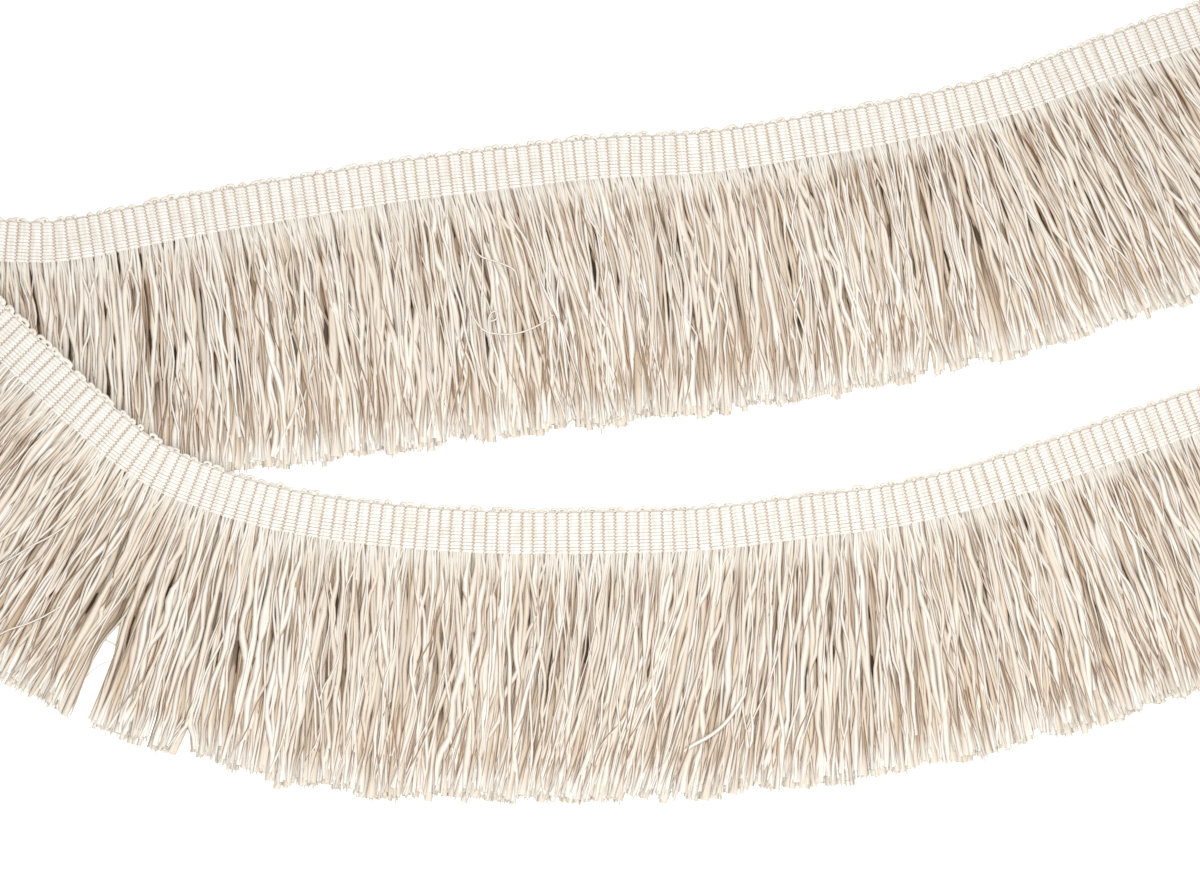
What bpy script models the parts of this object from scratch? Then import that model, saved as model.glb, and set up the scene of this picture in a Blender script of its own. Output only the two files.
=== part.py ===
# Chainette fringe trim: a cut length of ribbed woven heading with its cut yarn fringe,
# lying on a table and folded over once, slantwise, so that the second run crosses the first.
#
# The trim is modelled straight and flat, then laid down along the path below.
# Straight frame: x runs along the trim from its right end, y is the depth below the
# heading's top edge, z is the height above the face that meets the table.
# Laid frame: metres, X to the right along the runs, Y away from the fringe tips, Z up.
# The origin is under the middle of the whole length, on the table.

import math
import random

import bmesh
import bpy
import numpy as np
from mathutils import Vector

MM = 0.001

# Heading: a warp-faced band whose ribs run across it, with a looped upper edge
RIB_PITCH = 3.1 * MM
RIB_FLAT_SHARE = 0.70
HEADING_DEPTH = 11.2 * MM
HEADING_THICK = 1.5 * MM
VALLEY_SINK = 0.25 * MM
LOOP_RISE = 1.4 * MM
LOOP_NOTCH_RISE = 0.3 * MM

# Backing strips that carry the fringe, parted from the heading's lower edge
PART_GAP = 0.35 * MM
BACKING_DEPTH = 1.2 * MM
BACKING_INSET = 0.2 * MM

# Fringe locks, one under each rib: places along a lock as shares of its length, its
# thickness there, its root as a share of the rib, and its top as a share of its width
COMB_LENGTH = 63.0 * MM
LENGTH_VARIATION = 1.9 * MM
LOCK_STATIONS = (0.14, 0.55, 1.0)
LOCK_THICKNESS = (2.1 * MM, 2.3 * MM, 1.1 * MM)
LOCK_ROOT_SHARE = 0.74
LOCK_CROWN_SHARE = 0.62
LOCK_GAP = 0.45 * MM
LOCK_WIDEST = 5.0 * MM
LEAN_VARIATION = 1.0
BULK_RANGE = (0.85, 1.12)
FILL_RANGE = (0.84, 1.0)

# The fold, just past the left end of both runs
CREASE_POINT = (-187.2 * MM, 62.1 * MM)
CREASE_ANGLE = math.radians(66.8)
FOLD_RADIUS = 2.2 * MM

# How the second run comes down from the fold to the table
DESCENT_START = 50.0 * MM
DESCENT_END = 100.0 * MM
CREASE_DESCENT = 12.0 * MM

# Moves the laid trim so that the origin is under the middle of its outline
CENTRE_SHIFT = (8.0 * MM, -15.1 * MM)

# Top edge of the heading along the first run, from its cut end to the fold.
# x, y: place in mm. root, tip: the fringe's lean there in degrees from straight down,
# positive to the right, where it leaves the heading and at its cut ends.
# drop: length of the fringe in mm.
BACK_RUN = [
    dict(x=172.6, y=125.4, root=33, tip=34, drop=62.5),
    dict(x=137.0, y=112.3, root=29, tip=29, drop=62.5),
    dict(x=109.4, y=101.8, root=23, tip=24, drop=62.0),
    dict(x=81.9, y=95.0, root=12, tip=2, drop=62.5),
    dict(x=54.6, y=89.9, root=16, tip=8, drop=63.5),
    dict(x=27.3, y=85.7, root=14, tip=0, drop=64.0),
    dict(x=0.0, y=84.3, root=15, tip=2, drop=65.0),
    dict(x=-27.2, y=81.2, root=18, tip=6, drop=66.0),
    dict(x=-54.4, y=77.8, root=10, tip=2, drop=66.0),
    dict(x=-81.6, y=73.3, root=14, tip=4, drop=65.0),
    dict(x=-108.7, y=68.6, root=14, tip=1, drop=64.0),
    dict(x=-135.7, y=63.0, root=7, tip=-5, drop=63.0),
    dict(x=-149.2, y=60.9, root=9, tip=-4, drop=62.5),
    dict(x=-162.8, y=61.2, root=10, tip=-4, drop=62.5),
    dict(x=-180.0, y=62.6, root=-4, tip=-8, drop=62.5),
    dict(x=-187.2, y=63.4, root=-12, tip=-13, drop=62.5),
    dict(x=-193.2, y=64.1, root=-19, tip=-19, drop=62.5),
    dict(x=-195.8, y=64.35, root=-32, tip=-31, drop=62.5),
]

# The same along the second run, from the fold to its cut end
FRONT_RUN = [
    dict(x=-178.8, y=53.8, root=-32, tip=-31, drop=61.5),
    dict(x=-163.2, y=39.4, root=-41, tip=-31, drop=61.5),
    dict(x=-147.3, y=24.5, root=-42, tip=-30, drop=61.5),
    dict(x=-133.5, y=11.9, root=-39, tip=-29, drop=61.5),
    dict(x=-117.9, y=-0.4, root=-29, tip=-28, drop=61.5),
    dict(x=-102.0, y=-7.5, root=-17, tip=-15, drop=61.5),
    dict(x=-80.2, y=-13.4, root=-6, tip=-5, drop=62.5),
    dict(x=-53.4, y=-17.0, root=-2, tip=-8, drop=64.0),
    dict(x=-26.7, y=-18.6, root=0, tip=-10, drop=63.0),
    dict(x=0.0, y=-18.6, root=-3, tip=-14, drop=64.0),
    dict(x=26.7, y=-17.8, root=-7, tip=-18, drop=65.0),
    dict(x=53.4, y=-14.6, root=-1, tip=-4, drop=64.0),
    dict(x=80.2, y=-11.0, root=7, tip=9, drop=61.5),
    dict(x=107.1, y=-3.9, root=18, tip=12, drop=62.0),
    dict(x=134.1, y=5.3, root=22, tip=17, drop=62.5),
    dict(x=168.9, y=17.6, root=20, tip=22, drop=62.0),
]

# Places where neighbouring locks part. rib: counted from the cut end of the first run.
# spread: degrees that each side turns away. reach: ribs over which that fades.
PARTINGS = [
    dict(rib=32, spread=3.0, reach=2.0),
    dict(rib=154, spread=4.5, reach=3.0),
    dict(rib=159, spread=2.0, reach=1.5),
]

# Each backing strip of the fringe and the rib where it ends
BACKINGS = [
    dict(name="fringe_back_right", last_rib=41),
    dict(name="fringe_back_middle", last_rib=82),
    dict(name="fringe_back_left", last_rib=117),
    dict(name="fringe_fold", last_rib=131),
    dict(name="fringe_front_left", last_rib=160),
    dict(name="fringe_front_middle", last_rib=204),
    dict(name="fringe_front_right", last_rib=None),
]

# Fineness of the shapes. A rib has three columns: its valley and the two sides of its flat top.
# The extra cuts are made only round the fold and FOLD_MARGIN, in radians, before and after it.
COLUMNS_PER_RIB = 3
FOLD_MARGIN = 1.5
FOLD_CUTS_ACROSS = 5
FOLD_CUTS_ALONG = 1
PATH_STEPS = 24
LEAN_STEPS = 12


def clear_scene():
    for obj in list(bpy.data.objects):
        bpy.data.objects.remove(obj, do_unlink=True)


def fabric_material(name, colour, roughness):
    material = bpy.data.materials.new(name)
    material.use_nodes = True
    shader = material.node_tree.nodes["Principled BSDF"]
    shader.inputs["Base Color"].default_value = (*colour, 1.0)
    shader.inputs["Roughness"].default_value = roughness
    shader.inputs["Metallic"].default_value = 0.0
    return material


def smooth_step(value):
    value = np.clip(value, 0.0, 1.0)
    return value * value * (3.0 - 2.0 * value)


# The crease: its direction, and the side that the cloth rolls out on
CREASE_OUT = np.array((-math.sin(CREASE_ANGLE), math.cos(CREASE_ANGLE)))
CREASE_AT = np.array(CREASE_POINT)
ROLL_LENGTH = math.pi * FOLD_RADIUS


def unfold(point):
    """Place of a second-run point before the trim was folded."""
    past = float(np.dot(point - CREASE_AT, CREASE_OUT))
    return point + (ROLL_LENGTH - 2.0 * past) * CREASE_OUT


def curve_through(points, steps):
    """Smooth curve through the points, with the given steps between each two."""
    ends = [2 * points[0] - points[1]] + list(points) + [2 * points[-1] - points[-2]]
    curve = []
    for a, b, c, d in zip(ends, ends[1:], ends[2:], ends[3:]):
        for step in range(steps):
            t = step / steps
            curve.append(0.5 * (2 * b + (c - a) * t + (2 * a - 5 * b + 4 * c - d) * t ** 2
                                + (3 * b - a - 3 * c + d) * t ** 3))
    curve.append(points[-1])
    return np.array(curve)


class Path:
    """The heading's top edge, unfolded, by distance from the cut end of the first run."""

    def __init__(self):
        back = [np.array((row["x"], row["y"])) * MM for row in BACK_RUN]
        front = [unfold(np.array((row["x"], row["y"])) * MM) for row in FRONT_RUN]
        self.points = curve_through(back + front, PATH_STEPS)
        steps = np.linalg.norm(np.diff(self.points, axis=0), axis=1)
        self.along = np.concatenate(([0.0], np.cumsum(steps)))
        rows = BACK_RUN + FRONT_RUN
        self.row_along = self.along[::PATH_STEPS]
        self.root_lean = np.array([row["root"] for row in rows], dtype=float)
        self.tip_lean = np.array([row["tip"] for row in rows], dtype=float)
        self.drop = np.array([row["drop"] for row in rows]) * MM
        self.ribs = int(self.along[-1] / RIB_PITCH)
        self.length = self.ribs * RIB_PITCH

    def point(self, along):
        return np.array([np.interp(along, self.along, self.points[:, axis]) for axis in (0, 1)])

    def frame(self, along):
        """Point on the top edge and the direction across the heading there."""
        ahead = self.point(min(along + RIB_PITCH, self.along[-1]))
        behind = self.point(max(along - RIB_PITCH, 0.0))
        tangent = (ahead - behind) / np.linalg.norm(ahead - behind)
        return self.point(along), np.array((-tangent[1], tangent[0]))

    def fringe(self, along):
        """Lean at the root and at the tips in degrees, and length, of the fringe hanging here."""
        root = np.interp(along, self.row_along, self.root_lean)
        tip = np.interp(along, self.row_along, self.tip_lean)
        for parting in PARTINGS:
            ribs_off = along / RIB_PITCH - parting["rib"]
            turn = parting["spread"] * math.exp(-abs(ribs_off) / parting["reach"])
            side = 1.0 if ribs_off > 0 else -1.0
            run_sign = 1.0 if parting["rib"] > self.ribs / 2 else -1.0
            tip += turn * side * run_sign
        return root, tip, np.interp(along, self.row_along, self.drop)


def first_run_edge(x):
    """Y of the first run's top edge at x."""
    rows = sorted(BACK_RUN, key=lambda row: row["x"])
    return np.interp(x, [row["x"] * MM for row in rows], [row["y"] * MM for row in rows])


def support(x, y):
    """Height of what the second run lies on: the fold, then the first run's fringe, then the table."""
    below = first_run_edge(x) - y
    past = (x - CREASE_AT[0]) * CREASE_OUT[0] + (y - CREASE_AT[1]) * CREASE_OUT[1]
    down = 1.0 - smooth_step((below - DESCENT_START) / (DESCENT_END - DESCENT_START))
    out = 1.0 - smooth_step(past / CREASE_DESCENT)
    return 2.0 * FOLD_RADIUS * float(down * out)


def lay(path, along, depth, height):
    """Laid place of a point of the heading or a backing: flat, round the fold, or mirrored over it."""
    edge, across = path.frame(along)
    flat = edge + depth * across
    past = float(np.dot(flat - CREASE_AT, CREASE_OUT))
    if past <= 0.0:
        return np.array((flat[0], flat[1], height))
    foot = flat - past * CREASE_OUT
    if past < ROLL_LENGTH:
        angle = past / FOLD_RADIUS
        radius = FOLD_RADIUS + HEADING_THICK / 2 - height
        out = foot + radius * math.sin(angle) * CREASE_OUT
        return np.array((out[0], out[1], FOLD_RADIUS + HEADING_THICK / 2 - radius * math.cos(angle)))
    over = foot - (past - ROLL_LENGTH) * CREASE_OUT
    return np.array((over[0], over[1], support(*over) + HEADING_THICK - height))


def fold_angle(path, along, depth):
    edge, across = path.frame(along)
    past = float(np.dot(edge + depth * across - CREASE_AT, CREASE_OUT))
    return past / FOLD_RADIUS


def straight_bar(columns):
    """A bar of unit size along x, cut into columns."""
    bm = bmesh.new()
    bmesh.ops.create_cube(bm, size=1.0)
    long_edges = [e for e in bm.edges if abs(e.verts[0].co.x - e.verts[1].co.x) > 0.5]
    bmesh.ops.subdivide_edges(bm, edges=long_edges, cuts=columns - 1)
    return bm


def cut_at_fold(bm, path, across, cuts):
    """Adds points to the heading's ribs at the fold, along its edges that run across or along it."""
    edges = []
    for edge in bm.edges:
        a, b = (vert.co for vert in edge.verts)
        long_enough = abs(a.y - b.y) > RIB_PITCH / 2 if across else abs(a.x - b.x) > RIB_PITCH / 2
        turns = [fold_angle(path, co.x, depth) for co in (a, b) for depth in (0.0, HEADING_DEPTH)]
        if long_enough and max(turns) > -FOLD_MARGIN and min(turns) < math.pi + FOLD_MARGIN:
            edges.append(edge)
    bmesh.ops.subdivide_edges(bm, edges=edges, cuts=cuts, use_grid_fill=True)


def new_object(name, bm, collection, material):
    for vert in bm.verts:
        vert.co += Vector((*CENTRE_SHIFT, 0.0))
    mesh = bpy.data.meshes.new(name)
    bm.to_mesh(mesh)
    bm.free()
    mesh.materials.append(material)
    obj = bpy.data.objects.new(name, mesh)
    collection.objects.link(obj)
    return obj


def make_heading(path, collection):
    """The woven band: flat-topped ribs on both faces, and scallops where the weft loops stand."""
    columns = COLUMNS_PER_RIB * path.ribs
    bm = straight_bar(columns)
    half_valley = (1.0 - RIB_FLAT_SHARE) / 2
    phases = (0.0, half_valley, 1.0 - half_valley)
    for vert in bm.verts:
        column = round((vert.co.x + 0.5) * columns)
        rib, phase = divmod(column, COLUMNS_PER_RIB)
        in_valley = phase == 0
        sink = VALLEY_SINK if in_valley else 0.0
        rise = LOOP_NOTCH_RISE if in_valley else LOOP_RISE
        x = (rib + phases[phase]) * RIB_PITCH
        y = HEADING_DEPTH if vert.co.y > 0 else -rise
        z = HEADING_THICK - sink if vert.co.z > 0 else sink
        vert.co = (x, y, z)
    cut_at_fold(bm, path, across=True, cuts=FOLD_CUTS_ACROSS)
    cut_at_fold(bm, path, across=False, cuts=FOLD_CUTS_ALONG)
    for vert in bm.verts:
        vert.co = lay(path, *vert.co)
    material = fabric_material("heading_cotton", (0.86, 0.82, 0.75), 0.85)
    return new_object("heading", bm, collection, material)


def lock_lines(path):
    """Centre line of every fringe lock in plan, at its root and at each station."""
    rng = random.Random(11)
    lines = []
    depth = HEADING_DEPTH + PART_GAP + BACKING_DEPTH
    for rib in range(path.ribs):
        along = (rib + 0.5) * RIB_PITCH
        root, tip, drop = path.fringe(along)
        turn = rng.uniform(-LEAN_VARIATION, LEAN_VARIATION)
        length = drop + rng.uniform(-LENGTH_VARIATION, LENGTH_VARIATION)
        place = lay(path, along, depth, HEADING_THICK / 2)[:2]
        points = [place]
        covered = 0.0
        for station in LOCK_STATIONS:
            share = (station - covered) / LEAN_STEPS
            for step in range(LEAN_STEPS):
                t = covered + (step + 0.5) * share
                lean = math.radians(root + (tip - root + turn) * t)
                place = place + length * share * np.array((math.sin(lean), -math.cos(lean)))
            covered = station
            points.append(place)
        lines.append(dict(points=points, bulk=rng.uniform(*BULK_RANGE), fill=rng.uniform(*FILL_RANGE),
                          over=fold_angle(path, along, depth) > math.pi / 2))
    return lines


def lock_sizes(lines):
    """Adds each lock's direction and width at its stations, so that neighbours stay apart."""
    for index, line in enumerate(lines):
        line["directions"] = []
        line["widths"] = []
        for station in range(len(LOCK_STATIONS) + 1):
            here = line["points"][station]
            before = line["points"][max(station - 1, 0)]
            after = line["points"][min(station + 1, len(LOCK_STATIONS))]
            direction = (after - before) / np.linalg.norm(after - before)
            room = LOCK_WIDEST + LOCK_GAP
            for other in (index - 1, index + 1):
                if 0 <= other < len(lines) and lines[other]["over"] == line["over"]:
                    offset = lines[other]["points"][station] - here
                    room = min(room, abs(offset[0] * direction[1] - offset[1] * direction[0]))
            line["directions"].append(direction)
            line["widths"].append((room - LOCK_GAP) * line["fill"])


def place_lock_point(path, line, station, side, upper):
    """Laid place of one corner of a lock. side is -1 or 1 along the trim, upper is in the straight frame."""
    direction = line["directions"][station]
    right = np.array((-direction[1], direction[0]))
    if line["over"]:
        upper = not upper
    else:
        side = -side
    half = line["widths"][station] / 2
    if upper:
        half *= LOCK_CROWN_SHARE
    place = line["points"][station] + side * half * right
    base = support(*place) if line["over"] else 0.0
    top = LOCK_THICKNESS[station - 1] * line["bulk"] if upper else 0.0
    return np.array((place[0], place[1], base + top))


def make_fringe(path, lines, name, first_rib, last_rib, collection):
    """One backing strip with a lock under each of its ribs, modelled as a straight comb and then laid."""
    ribs = last_rib - first_rib
    bm = straight_bar(2 * ribs - 1)
    root_start = (1.0 - LOCK_ROOT_SHARE) / 2
    depth_top = HEADING_DEPTH + PART_GAP
    depth_root = depth_top + BACKING_DEPTH
    for vert in bm.verts:
        column = round((vert.co.x + 0.5) * (2 * ribs - 1))
        rib, end = divmod(column, 2)
        x = (first_rib + rib + (1.0 - root_start if end else root_start)) * RIB_PITCH
        y = depth_root if vert.co.y > 0 else depth_top
        z = HEADING_THICK - BACKING_INSET if vert.co.z > 0 else BACKING_INSET
        vert.co = (x, y, z)
    faces = []
    for face in bm.faces:
        middle = face.calc_center_median()
        on_lower_edge = all(abs(vert.co.y - depth_root) < PART_GAP / 10 for vert in face.verts)
        under_rib = abs((middle.x / RIB_PITCH) % 1.0 - 0.5) < 0.1
        if on_lower_edge and under_rib:
            faces.append(face)
    covered = 0.0
    for station in LOCK_STATIONS:
        faces = bmesh.ops.extrude_discrete_faces(bm, faces=faces)["faces"]
        verts = list({vert for face in faces for vert in face.verts})
        bmesh.ops.translate(bm, verts=verts, vec=(0.0, (station - covered) * COMB_LENGTH, 0.0))
        covered = station
    for vert in bm.verts:
        along, depth, height = vert.co
        share = (depth - depth_root) / COMB_LENGTH
        if share < LOCK_STATIONS[0] / 2:
            vert.co = lay(path, along, depth, height)
            continue
        station = 1 + min(range(len(LOCK_STATIONS)), key=lambda k: abs(LOCK_STATIONS[k] - share))
        rib = int(along / RIB_PITCH)
        side = 1.0 if along > (rib + 0.5) * RIB_PITCH else -1.0
        vert.co = place_lock_point(path, lines[rib], station, side, height > HEADING_THICK / 2)
    material = fabric_material(name + "_yarn", (0.70, 0.63, 0.54), 0.9)
    return new_object(name, bm, collection, material)


def main():
    clear_scene()
    collection = bpy.data.collections.new("chainette_fringe_trim")
    bpy.context.scene.collection.children.link(collection)
    path = Path()
    make_heading(path, collection)
    lines = lock_lines(path)
    lock_sizes(lines)
    first_rib = 0
    for backing in BACKINGS:
        last_rib = backing["last_rib"] or path.ribs
        make_fringe(path, lines, backing["name"], first_rib, last_rib, collection)
        first_rib = last_rib


main()
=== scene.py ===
# Chainette fringe trim: the looks. A ribbed cotton heading with a looped upper edge and some
# three thousand cut yarns, laid along the same path as the CAD solids and folded over once.
# Lengths are in metres unless a name or note says mm, angles in degrees where noted.

import math

import bmesh
import bpy
import numpy as np
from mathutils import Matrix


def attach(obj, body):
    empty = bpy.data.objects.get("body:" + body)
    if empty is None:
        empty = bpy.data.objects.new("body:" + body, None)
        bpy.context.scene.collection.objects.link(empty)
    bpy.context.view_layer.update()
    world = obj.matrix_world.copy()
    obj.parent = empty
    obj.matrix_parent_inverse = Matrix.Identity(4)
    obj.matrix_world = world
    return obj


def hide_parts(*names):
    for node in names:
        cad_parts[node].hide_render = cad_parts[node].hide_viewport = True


mm = 0.001
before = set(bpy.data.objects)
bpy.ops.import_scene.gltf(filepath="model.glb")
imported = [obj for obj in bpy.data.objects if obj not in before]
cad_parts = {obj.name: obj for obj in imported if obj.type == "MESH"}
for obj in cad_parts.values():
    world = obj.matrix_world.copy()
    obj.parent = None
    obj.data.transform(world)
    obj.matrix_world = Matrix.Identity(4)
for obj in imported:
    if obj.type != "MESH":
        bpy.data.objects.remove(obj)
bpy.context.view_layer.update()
print("frame loaded:", len(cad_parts), "nodes")

# Path of the trim, the same as the solids follow
trim = dict(
    ribPitch=3.1 * mm,
    headingDepth=11.2 * mm,
    headingThick=1.5 * mm,
    creasePoint=(-187.2 * mm, 62.1 * mm),
    creaseAngle=math.radians(66.8),
    foldRadius=2.2 * mm,
    descent=(50 * mm, 100 * mm),   # how far below the first run the second one comes down
    creaseDescent=12 * mm,
    centreShift=np.array((8.0, -15.1)) * mm,
    # top edge of the heading: x and y in mm, lean of the fringe in degrees at root and tip, drop in mm
    firstRun=[
        (172.6, 125.4, 33, 34, 62.5), (137.0, 112.3, 29, 29, 62.5), (109.4, 101.8, 23, 24, 62.0),
        (81.9, 95.0, 12, 2, 62.5), (54.6, 89.9, 16, 8, 63.5), (27.3, 85.7, 14, 0, 64.0),
        (0.0, 84.3, 15, 2, 65.0), (-27.2, 81.2, 18, 6, 66.0), (-54.4, 77.8, 10, 2, 66.0),
        (-81.6, 73.3, 14, 4, 65.0), (-108.7, 68.6, 14, 1, 64.0), (-135.7, 63.0, 7, -5, 63.0),
        (-149.2, 60.9, 9, -4, 62.5), (-162.8, 61.2, 10, -4, 62.5), (-180.0, 62.6, -4, -8, 62.5),
        (-187.2, 63.4, -12, -13, 62.5), (-193.2, 64.1, -19, -19, 62.5), (-195.8, 64.35, -32, -31, 62.5),
    ],
    secondRun=[
        (-178.8, 53.8, -32, -31, 61.5), (-163.2, 39.4, -41, -31, 61.5), (-147.3, 24.5, -42, -30, 61.5),
        (-133.5, 11.9, -39, -29, 61.5), (-117.9, -0.4, -29, -28, 61.5), (-102.0, -7.5, -17, -15, 61.5),
        (-80.2, -13.4, -6, -5, 62.5), (-53.4, -17.0, -2, -8, 64.0), (-26.7, -18.6, 0, -10, 63.0),
        (0.0, -18.6, -3, -14, 64.0), (26.7, -17.8, -7, -18, 65.0), (53.4, -14.6, -1, -4, 64.0),
        (80.2, -11.0, 7, 9, 61.5), (107.1, -3.9, 18, 12, 62.0), (134.1, 5.3, 22, 17, 62.5),
        (168.9, 17.6, 20, 22, 62.0),
    ],
    # where the fringe parts: rib, degrees that each side turns away, and ribs over which it fades
    partings=[(32, 1.5, 2.0), (154, 3.0, 3.0), (159, 2.0, 1.5)],
)

creaseAt = np.array(trim["creasePoint"])
creaseOut = np.array((-math.sin(trim["creaseAngle"]), math.cos(trim["creaseAngle"])))
rollLength = math.pi * trim["foldRadius"]


def smoothStep(value):
    value = np.clip(value, 0.0, 1.0)
    return value * value * (3.0 - 2.0 * value)


def ramp(value, start, end):
    return smoothStep((value - start) / (end - start))


def unitLength(vectors):
    return vectors / np.linalg.norm(vectors, axis=-1, keepdims=True)


def unfold(point):
    return point + (rollLength - 2.0 * float((point - creaseAt) @ creaseOut)) * creaseOut


def curveThrough(points, steps):
    ends = [2 * points[0] - points[1]] + list(points) + [2 * points[-1] - points[-2]]
    curve = []
    for a, b, c, d in zip(ends, ends[1:], ends[2:], ends[3:]):
        for step in range(steps):
            t = step / steps
            curve.append(0.5 * (2 * b + (c - a) * t + (2 * a - 5 * b + 4 * c - d) * t ** 2
                                + (3 * b - a - 3 * c + d) * t ** 3))
    return np.array(curve + [points[-1]])


def lengthAlong(curve):
    return np.concatenate(([0.0], np.cumsum(np.linalg.norm(np.diff(curve, axis=0), axis=1))))


def measurePath(stepsPerRow=24):
    rows = trim["firstRun"] + trim["secondRun"]
    points = [np.array(row[:2]) * mm for row in trim["firstRun"]]
    points += [unfold(np.array(row[:2]) * mm) for row in trim["secondRun"]]
    curve = curveThrough(points, stepsPerRow)
    along = lengthAlong(curve)
    return dict(curve=curve, along=along, rowAlong=along[::stepsPerRow],
                ribs=int(along[-1] / trim["ribPitch"]), root=[row[2] for row in rows],
                tip=[row[3] for row in rows], drop=[row[4] * mm for row in rows])


path = measurePath()


def edgePoint(along):
    return np.stack([np.interp(along, path["along"], path["curve"][:, axis]) for axis in (0, 1)], axis=-1)


def edgeFrame(along):
    # point on the top edge, and the direction down across the heading
    reach = trim["ribPitch"]
    ahead = edgePoint(np.minimum(along + reach, path["along"][-1]))
    tangent = unitLength(ahead - edgePoint(np.maximum(along - reach, 0)))
    return edgePoint(along), np.stack((-tangent[..., 1], tangent[..., 0]), axis=-1)


def support(plan):
    # height of what the second run lies on: the fold, then the first run's fringe, then the table
    rows = sorted(trim["firstRun"])
    edgeY = np.interp(plan[..., 0], [row[0] * mm for row in rows], [row[1] * mm for row in rows])
    start, end = trim["descent"]
    down = 1.0 - smoothStep((edgeY - plan[..., 1] - start) / (end - start))
    past = (plan - creaseAt) @ creaseOut
    return 2.0 * trim["foldRadius"] * down * (1.0 - smoothStep(past / trim["creaseDescent"]))


def layTrim(along, depth, height):
    # place of a point of the straight trim once it is laid: flat, round the fold, or mirrored over it
    edge, across = edgeFrame(along)
    flat = edge + np.asarray(depth)[..., None] * across
    past = (flat - creaseAt) @ creaseOut
    radius = trim["foldRadius"] + trim["headingThick"] / 2 - height
    angle = np.clip(past / trim["foldRadius"], 0.0, math.pi)
    out = np.where(past < 0, past, np.where(past < rollLength, radius * np.sin(angle), rollLength - past))
    plan = flat + (out - past)[..., None] * creaseOut
    rolled = trim["foldRadius"] + trim["headingThick"] / 2 - radius * np.cos(angle)
    over = support(plan) + trim["headingThick"] - height
    z = np.where(past < 0, height, np.where(past < rollLength, rolled, over))
    return plan, z


def foldTurn(along, depth):
    edge, across = edgeFrame(along)
    return (edge + depth * across - creaseAt) @ creaseOut / trim["foldRadius"]


def fringeAt(along):
    root, tip, drop = (np.interp(along, path["rowAlong"], path[name]) for name in ("root", "tip", "drop"))
    for rib, spread, reach in trim["partings"]:
        off = along / trim["ribPitch"] - rib
        runSign = 1.0 if rib > path["ribs"] / 2 else -1.0
        tip = tip + spread * np.exp(-np.abs(off) / reach) * np.sign(off) * runSign
    return root, tip, drop


# Camera and stage
view = dict(target=(0.008, -0.0151, 0.0), distance=0.86, elevation=80.0, lens=96.27, sensor=36.0)


def linkObject(name, data):
    obj = bpy.data.objects.new(name, data)
    bpy.context.scene.collection.objects.link(obj)
    return obj


def setSockets(node, **values):
    # a socket's name is written without its spaces
    for socket in node.inputs:
        value = values.get(socket.name.replace(" ", ""))
        if value is not None:
            socket.default_value = value


def addCamera():
    camera = bpy.data.cameras.new("photoView")
    camera.lens = view["lens"]
    camera.sensor_width = view["sensor"]
    holder = linkObject("photoView", camera)
    tilt = math.radians(view["elevation"])
    x, y, z = view["target"]
    holder.location = (x, y - view["distance"] * math.cos(tilt), z + view["distance"] * math.sin(tilt))
    holder.rotation_euler = (math.radians(90.0 - view["elevation"]), 0.0, 0.0)
    bpy.context.scene.camera = holder


studio = dict(
    floorColour=(0.95, 0.94, 0.925), floorSize=6.0,
    worldStrength=0.50, worldColour=(1.0, 0.92, 0.82),
    lamps=[
        dict(name="keyLight", place=(0.05, -0.03, 0.62), size=0.40, power=3.8),
        dict(name="fillLight", place=(0.05, -0.75, 0.85), size=0.9, power=5.8),
    ],
)


def addStage():
    bm = bmesh.new()
    bmesh.ops.create_grid(bm, x_segments=1, y_segments=1, size=studio["floorSize"] / 2)
    mesh = bpy.data.meshes.new("floor")
    bm.to_mesh(mesh)
    bm.free()
    paper = bpy.data.materials.new("floorPaper")
    paper.use_nodes = True
    setSockets(paper.node_tree.nodes["Principled BSDF"], BaseColor=(*studio["floorColour"], 1.0),
               Roughness=1.0, SpecularIORLevel=0.0)
    mesh.materials.append(paper)
    linkObject("floor", mesh)

    world = bpy.data.worlds.new("studioWorld")
    world.use_nodes = True
    setSockets(world.node_tree.nodes["Background"], Color=(*studio["worldColour"], 1.0),
               Strength=studio["worldStrength"])
    bpy.context.scene.world = world

    for source in studio["lamps"]:
        light = bpy.data.lights.new(source["name"], "AREA")
        light.shape = "DISK"
        light.size = source["size"]
        light.energy = source["power"]
        lamp = linkObject(source["name"], light)
        lamp.location = source["place"]
        aim = np.array(view["target"]) - np.array(source["place"])
        lamp.rotation_euler = (math.atan2(math.hypot(aim[0], aim[1]), -aim[2]), 0.0,
                               math.atan2(aim[1], aim[0]) - math.pi / 2)
    bpy.context.scene.view_settings.view_transform = "Standard"


addCamera()
addStage()
print("camera and stage ready")


# Materials
def mathNode(tree, operation, first, second=None, third=None):
    node = tree.nodes.new("ShaderNodeMath")
    node.operation = operation
    for slot, value in enumerate((first, second, third)):
        if isinstance(value, (int, float)):
            node.inputs[slot].default_value = value
        elif value is not None:
            tree.links.new(value, node.inputs[slot])
    return node.outputs[0]


def times(tree, first, second):
    return mathNode(tree, "MULTIPLY", first, second)


def rangeNode(tree, value, low, high, toLow=0.0, toHigh=1.0, smooth=True):
    node = tree.nodes.new("ShaderNodeMapRange")
    node.interpolation_type = "SMOOTHSTEP" if smooth else "LINEAR"
    tree.links.new(value, node.inputs["Value"])
    for label, number in (("From Min", low), ("From Max", high), ("To Min", toLow), ("To Max", toHigh)):
        node.inputs[label].default_value = number
    return node.outputs["Result"]


def mixColours(tree, share, first, second, blend="MIX"):
    node = tree.nodes.new("ShaderNodeMix")
    node.data_type = "RGBA"
    node.blend_type = blend
    for socket, value in ((node.inputs[0], share), (node.inputs[6], first), (node.inputs[7], second)):
        if isinstance(value, tuple):
            socket.default_value = (*value, 1.0)
        else:
            tree.links.new(value, socket)
    return node.outputs[2]


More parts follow.
